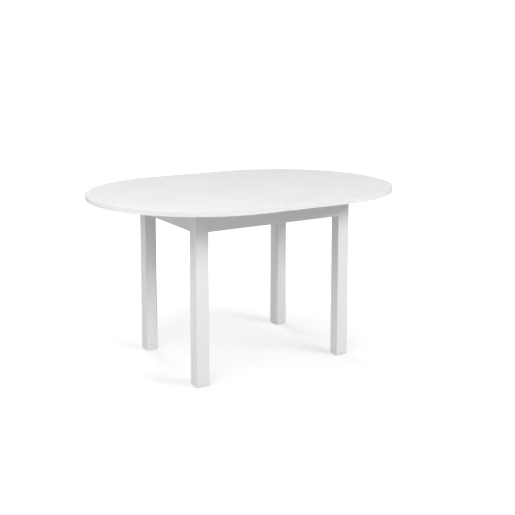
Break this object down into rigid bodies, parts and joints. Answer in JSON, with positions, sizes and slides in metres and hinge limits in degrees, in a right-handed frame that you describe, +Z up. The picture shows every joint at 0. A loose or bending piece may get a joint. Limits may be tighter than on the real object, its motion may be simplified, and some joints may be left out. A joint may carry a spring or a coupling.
{
  "type": "extending dining table",
  "caption": "Extending dining table with round ends, square legs and a plain apron, drawn out with its loose leaf in place.",
  "frame": {"origin": "on the floor, under the middle of the table", "axes": "+X along the table towards the half-round section, +Y across it towards the back, +Z up"},
  "size_m": [1.4, 1, 0.75],
  "materials": {
    "white_melamine": "fine-textured white melamine on particleboard",
    "white_edging": "satin white plastic edging",
    "white_lacquer": "satin white lacquer on fibreboard",
    "beech": "planed and oiled beech",
    "zinc_steel": "bright zinc plating",
    "glide_plastic": "moulded plastic"
  },
  "bodies": {
    "frame": {"leg_front_left": "white_lacquer", "leg_front_right": "white_lacquer", "leg_back_left": "white_lacquer", "leg_back_right": "white_lacquer", "foot_glide_front_left": "glide_plastic", "foot_glide_front_right": "glide_plastic", "foot_glide_back_left": "glide_plastic", "foot_glide_back_right": "glide_plastic", "apron_front": "white_lacquer", "apron_back": "white_lacquer", "apron_left": "white_lacquer", "apron_right": "white_lacquer", "corner_bracket_front_left": "zinc_steel", "leg_bolt_front_left": "zinc_steel", "leg_nut_front_left": "zinc_steel", "corner_bracket_front_right": "zinc_steel", "leg_bolt_front_right": "zinc_steel", "leg_nut_front_right": "zinc_steel", "corner_bracket_back_left": "zinc_steel", "leg_bolt_back_left": "zinc_steel", "leg_nut_back_left": "zinc_steel", "corner_bracket_back_right": "zinc_steel", "leg_bolt_back_right": "zinc_steel", "leg_nut_back_right": "zinc_steel", "guide_rail_front": "beech", "guide_rail_back": "beech", "cross_rail_left": "beech", "cross_rail_right": "beech"},
    "left_half": {"top_panel_left": "white_melamine", "edge_band_left": "white_edging", "seam_band_left": "white_edging", "left_runner_front": "beech", "left_runner_back": "beech", "left_stop_front": "beech", "left_stop_back": "beech", "left_seam_plate_front": "zinc_steel", "left_seam_plate_back": "zinc_steel"},
    "right_half": {"top_panel_right": "white_melamine", "edge_band_right": "white_edging", "seam_band_right": "white_edging", "right_runner_front": "beech", "right_runner_back": "beech", "right_stop_front": "beech", "right_stop_back": "beech", "right_seam_plate_front": "zinc_steel", "right_seam_plate_back": "zinc_steel"},
    "leaf": {"leaf_panel": "white_melamine", "leaf_edge_band_front": "white_edging", "leaf_edge_band_back": "white_edging", "leaf_seam_band_left": "white_edging", "leaf_seam_band_right": "white_edging", "leaf_peg_front_left": "beech", "leaf_peg_front_right": "beech", "leaf_peg_back_left": "beech", "leaf_peg_back_right": "beech"}
  },
  "joints": [
    {"name": "left_half_slide", "type": "slide", "parent": "frame", "child": "left_half", "axis": [-1, 0, 0], "range_m": [0, 0.025]},
    {"name": "right_half_slide", "type": "slide", "parent": "frame", "child": "right_half", "axis": [1, 0, 0], "range_m": [0, 0.025]},
    {"name": "leaf_lift", "type": "slide", "parent": "frame", "child": "leaf", "axis": [0, 0, 1], "range_m": [0, 0.12]}
  ]
}
